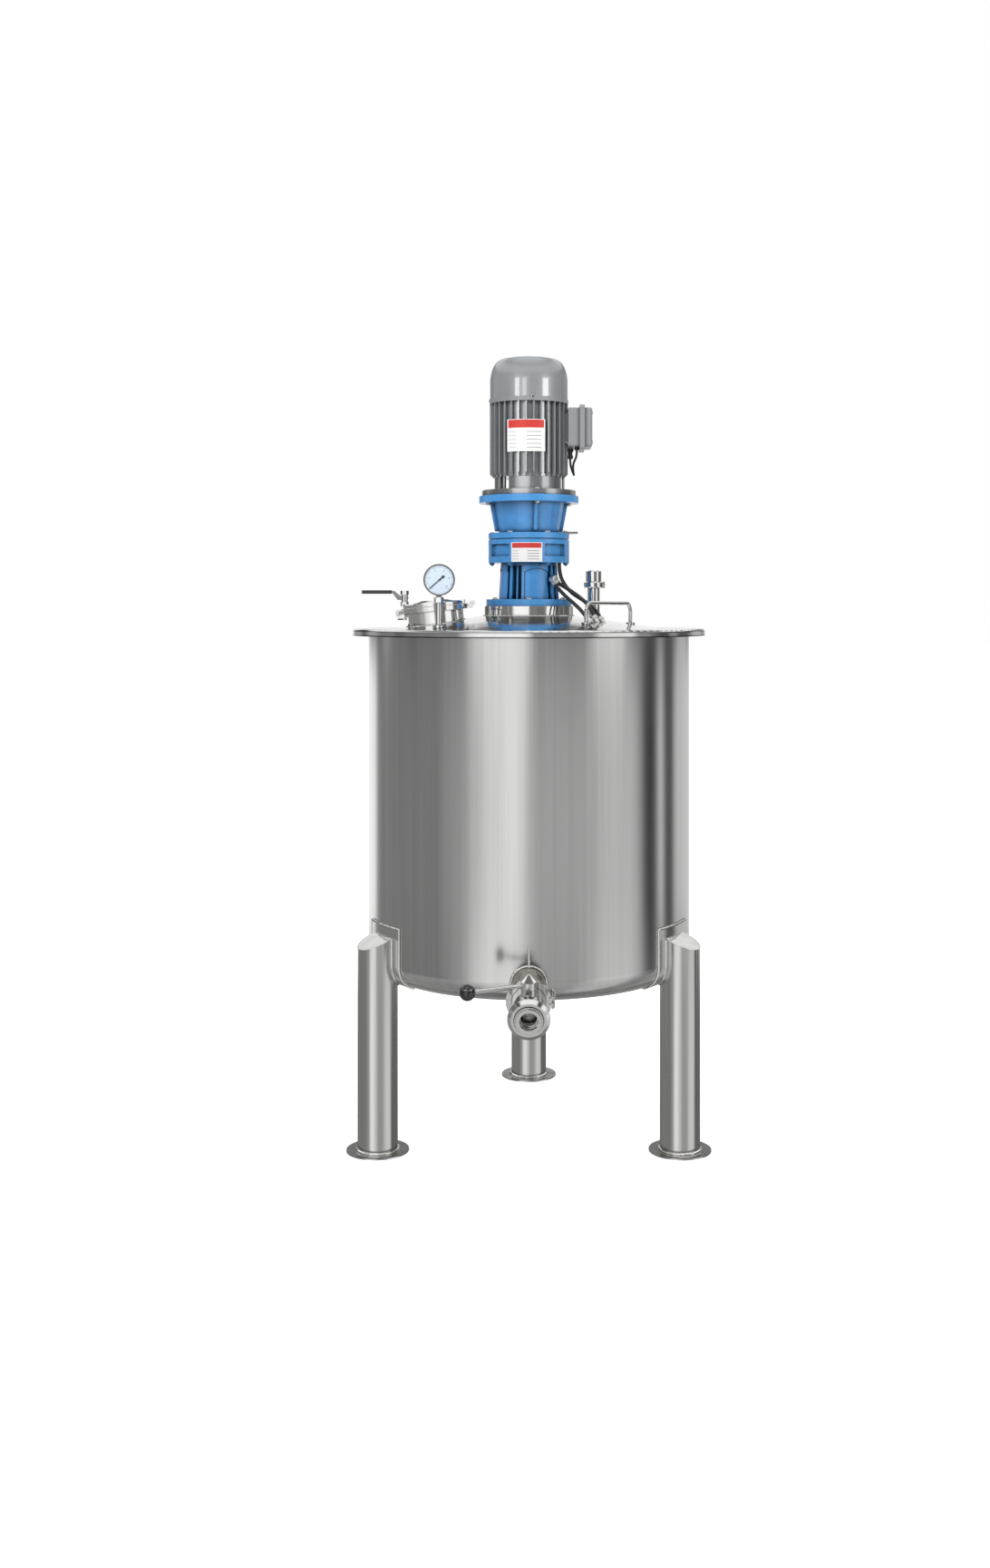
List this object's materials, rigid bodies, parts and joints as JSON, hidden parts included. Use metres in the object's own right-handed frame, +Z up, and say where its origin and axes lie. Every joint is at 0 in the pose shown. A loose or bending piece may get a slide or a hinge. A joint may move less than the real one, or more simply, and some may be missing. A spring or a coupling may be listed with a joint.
{
  "type": "mixing tank",
  "caption": "Closed round steel mixing tank on pipe legs, with a vertical gear drive and agitator on its lid, a hinged manway, and a ball valve discharge at the bottom.",
  "frame": {"origin": "on the floor, in the middle of the box that the tank covers", "axes": "+Z up along the tank, -Y towards the discharge valve, +X towards the terminal box"},
  "size_m": [0.9339, 1.1526, 2.03],
  "materials": {
    "steel_satin": "satin, vertical grain",
    "steel_polished": "polished",
    "steel_plain": "machined and polished",
    "drive_blue": "semi-gloss paint",
    "motor_grey": "satin paint",
    "box_grey": "satin paint",
    "aluminium": "cast",
    "black_plastic": "smooth",
    "hose_black": "satin",
    "dial_white": "matt print",
    "cast_dark": "zinc plated"
  },
  "bodies": {
    "tank": {"shell": "steel_satin", "bottom_head": "steel_satin", "lid": "steel_polished", "leg_left": "steel_satin", "leg_right": "steel_satin", "leg_rear": "steel_satin", "foot_left": "steel_plain", "foot_right": "steel_plain", "foot_rear": "steel_plain", "leg_pad_left": "steel_satin", "leg_pad_right": "steel_satin", "leg_pad_rear": "steel_satin", "outlet_stub": "steel_plain", "valve_body": "steel_plain", "valve_front_ring": "steel_plain", "drive_spigot": "steel_plain", "gearbox_lower_housing": "drive_blue", "gearbox_ring": "drive_blue", "lifting_plate": "drive_blue", "motor_adapter": "drive_blue", "motor_end_shield": "aluminium", "motor_frame": "motor_grey", "fan_cover": "motor_grey", "terminal_box": "box_grey", "terminal_box_cover": "box_grey", "cable_gland": "black_plastic", "motor_cable": "hose_black", "manway_neck": "steel_polished", "manway_pin": "steel_plain", "vent_valve_body": "steel_plain", "gauge_stem": "steel_plain", "gauge_case": "steel_plain", "gauge_dial": "dial_white", "breather": "steel_polished", "lid_handle": "steel_polished", "hose_elbow": "steel_plain", "lid_hose_fittings": "steel_plain", "hose_a": "hose_black", "hose_b": "hose_black", "hose_c": "hose_black", "agitator_shaft": "steel_plain", "agitator_impeller": "steel_plain"},
    "manway_cover": {"manway_cover": "steel_polished"},
    "vent_lever": {"vent_lever": "cast_dark", "vent_grip": "black_plastic"},
    "discharge_lever": {"discharge_ball": "steel_polished", "discharge_stem": "steel_plain", "discharge_lever": "steel_plain", "discharge_knob": "black_plastic"}
  },
  "joints": [
    {"name": "manway_hinge", "type": "hinge", "parent": "tank", "child": "manway_cover", "pos_m": [-0.14915, -0.00371, 1.38272], "axis": [0, 1, 0], "range_deg": [0, 95]},
    {"name": "vent_lever_pivot", "type": "hinge", "parent": "tank", "child": "vent_lever", "pos_m": [-0.33015, 0.06365, 1.397], "axis": [0, 1, 0], "range_deg": [0, 90]},
    {"name": "discharge_stem_turn", "type": "hinge", "parent": "tank", "child": "discharge_lever", "pos_m": [0, -0.51778, 0.49917], "axis": [0, -0.1908, 0.9816], "range_deg": [-16, 74]}
  ]
}
